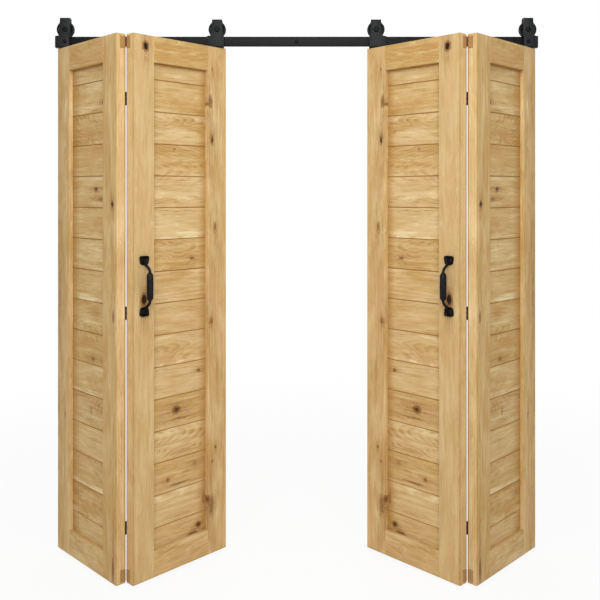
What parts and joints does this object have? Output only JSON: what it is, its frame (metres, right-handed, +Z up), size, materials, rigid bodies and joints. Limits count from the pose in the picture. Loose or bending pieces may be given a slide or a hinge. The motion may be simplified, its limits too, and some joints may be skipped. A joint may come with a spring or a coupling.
{
  "type": "folding door",
  "caption": "Double bi-fold barn door: four boarded wooden leaves folding in two mirrored pairs, hung by strap hangers with grooved wheels from a flat steel track.",
  "frame": {"origin": "on the wall plane, behind the middle of the track, at mid-height of the track", "axes": "+X right as seen by a viewer in front of the door, +Y into the wall (the door's front faces -Y), +Z up"},
  "size_m": [1.9582, 0.3951, 2.1556],
  "materials": {
    "leaf_wood": "sanded knotty softwood, satin clear coat",
    "panel_wood": "sanded knotty tongue-and-groove boards, satin clear coat",
    "track_steel": "satin black powder coat",
    "hanger_steel": "satin black powder coat",
    "wheel_steel": "satin black",
    "bolt_steel": "black oxide",
    "hinge_steel": "black",
    "handle_iron": "hammered black iron"
  },
  "bodies": {
    "track": {"track": "track_steel", "left_track_bolt": "bolt_steel", "centre_track_bolt": "bolt_steel", "right_track_bolt": "bolt_steel", "left_end_bolt": "bolt_steel", "right_end_bolt": "bolt_steel", "left_outer_strap": "hanger_steel", "left_outer_axle_bolt": "bolt_steel", "left_outer_pivot_bolt": "bolt_steel", "right_outer_strap": "hanger_steel", "right_outer_axle_bolt": "bolt_steel", "right_outer_pivot_bolt": "bolt_steel"},
    "left_outer_leaf": {"left_outer_fold_stile": "leaf_wood", "left_outer_hanger_stile": "leaf_wood", "left_outer_top_rail": "leaf_wood", "left_outer_bottom_rail": "leaf_wood", "left_outer_panel": "panel_wood", "left_outer_top_plate": "hinge_steel", "left_outer_hinge_plate_1": "hinge_steel", "left_outer_hinge_plate_2": "hinge_steel", "left_outer_hinge_plate_3": "hinge_steel"},
    "left_lead_leaf": {"left_lead_fold_stile": "leaf_wood", "left_lead_hanger_stile": "leaf_wood", "left_lead_top_rail": "leaf_wood", "left_lead_bottom_rail": "leaf_wood", "left_lead_panel": "panel_wood", "left_lead_top_plate": "hinge_steel", "left_lead_hinge_plate_1": "hinge_steel", "left_lead_hinge_plate_2": "hinge_steel", "left_lead_hinge_plate_3": "hinge_steel", "left_handle": "handle_iron"},
    "left_lead_hanger": {"left_lead_strap": "hanger_steel", "left_lead_axle_bolt": "bolt_steel", "left_lead_pivot_bolt": "bolt_steel"},
    "left_outer_wheel": {"left_outer_wheel": "wheel_steel"},
    "left_lead_wheel": {"left_lead_wheel": "wheel_steel"},
    "right_outer_leaf": {"right_outer_fold_stile": "leaf_wood", "right_outer_hanger_stile": "leaf_wood", "right_outer_top_rail": "leaf_wood", "right_outer_bottom_rail": "leaf_wood", "right_outer_panel": "panel_wood", "right_outer_top_plate": "hinge_steel", "right_outer_hinge_plate_1": "hinge_steel", "right_outer_hinge_plate_2": "hinge_steel", "right_outer_hinge_plate_3": "hinge_steel"},
    "right_lead_leaf": {"right_lead_fold_stile": "leaf_wood", "right_lead_hanger_stile": "leaf_wood", "right_lead_top_rail": "leaf_wood", "right_lead_bottom_rail": "leaf_wood", "right_lead_panel": "panel_wood", "right_lead_top_plate": "hinge_steel", "right_lead_hinge_plate_1": "hinge_steel", "right_lead_hinge_plate_2": "hinge_steel", "right_lead_hinge_plate_3": "hinge_steel", "right_handle": "handle_iron"},
    "right_lead_hanger": {"right_lead_strap": "hanger_steel", "right_lead_axle_bolt": "bolt_steel", "right_lead_pivot_bolt": "bolt_steel"},
    "right_outer_wheel": {"right_outer_wheel": "wheel_steel"},
    "right_lead_wheel": {"right_lead_wheel": "wheel_steel"}
  },
  "joints": [
    {"name": "left_outer_leaf_hinge", "type": "hinge", "parent": "track", "child": "left_outer_leaf", "pos_m": [-0.93915, -0.038, -0.0278], "axis": [0, 0, -1], "range_deg": [-49.6, 37.4]},
    {"name": "left_lead_leaf_hinge", "type": "hinge", "parent": "left_outer_leaf", "child": "left_lead_leaf", "pos_m": [-0.63088, -0.36812, -0.0278], "axis": [0, 0, 1], "range_deg": [-99.2, 74.8]},
    {"name": "left_lead_hanger_pivot", "type": "hinge", "parent": "left_lead_leaf", "child": "left_lead_hanger", "pos_m": [-0.32261, -0.038, -0.0278], "axis": [0, 0, -1], "range_deg": [-49.6, 37.4]},
    {"name": "left_outer_wheel_spin", "type": "hinge", "parent": "track", "child": "left_outer_wheel", "pos_m": [-0.93915, -0.038, 0.0483], "axis": [0, 1, 0], "continuous": true},
    {"name": "left_lead_wheel_spin", "type": "hinge", "parent": "left_lead_hanger", "child": "left_lead_wheel", "pos_m": [-0.32261, -0.038, 0.0483], "axis": [0, 1, 0], "continuous": true},
    {"name": "right_outer_leaf_hinge", "type": "hinge", "parent": "track", "child": "right_outer_leaf", "pos_m": [0.93915, -0.038, -0.0278], "axis": [0, 0, 1], "range_deg": [-49.6, 37.4]},
    {"name": "right_lead_leaf_hinge", "type": "hinge", "parent": "right_outer_leaf", "child": "right_lead_leaf", "pos_m": [0.63088, -0.36812, -0.0278], "axis": [0, 0, -1], "range_deg": [-99.2, 74.8]},
    {"name": "right_lead_hanger_pivot", "type": "hinge", "parent": "right_lead_leaf", "child": "right_lead_hanger", "pos_m": [0.32261, -0.038, -0.0278], "axis": [0, 0, 1], "range_deg": [-49.6, 37.4]},
    {"name": "right_outer_wheel_spin", "type": "hinge", "parent": "track", "child": "right_outer_wheel", "pos_m": [0.93915, -0.038, 0.0483], "axis": [0, 1, 0], "continuous": true},
    {"name": "right_lead_wheel_spin", "type": "hinge", "parent": "right_lead_hanger", "child": "right_lead_wheel", "pos_m": [0.32261, -0.038, 0.0483], "axis": [0, 1, 0], "continuous": true}
  ],
  "couplings": [
    {"joint": "left_lead_leaf_hinge", "follows": "left_outer_leaf_hinge", "ratio": 2},
    {"joint": "left_lead_hanger_pivot", "follows": "left_outer_leaf_hinge", "ratio": 1},
    {"joint": "right_lead_leaf_hinge", "follows": "right_outer_leaf_hinge", "ratio": 2},
    {"joint": "right_lead_hanger_pivot", "follows": "right_outer_leaf_hinge", "ratio": 1}
  ]
}
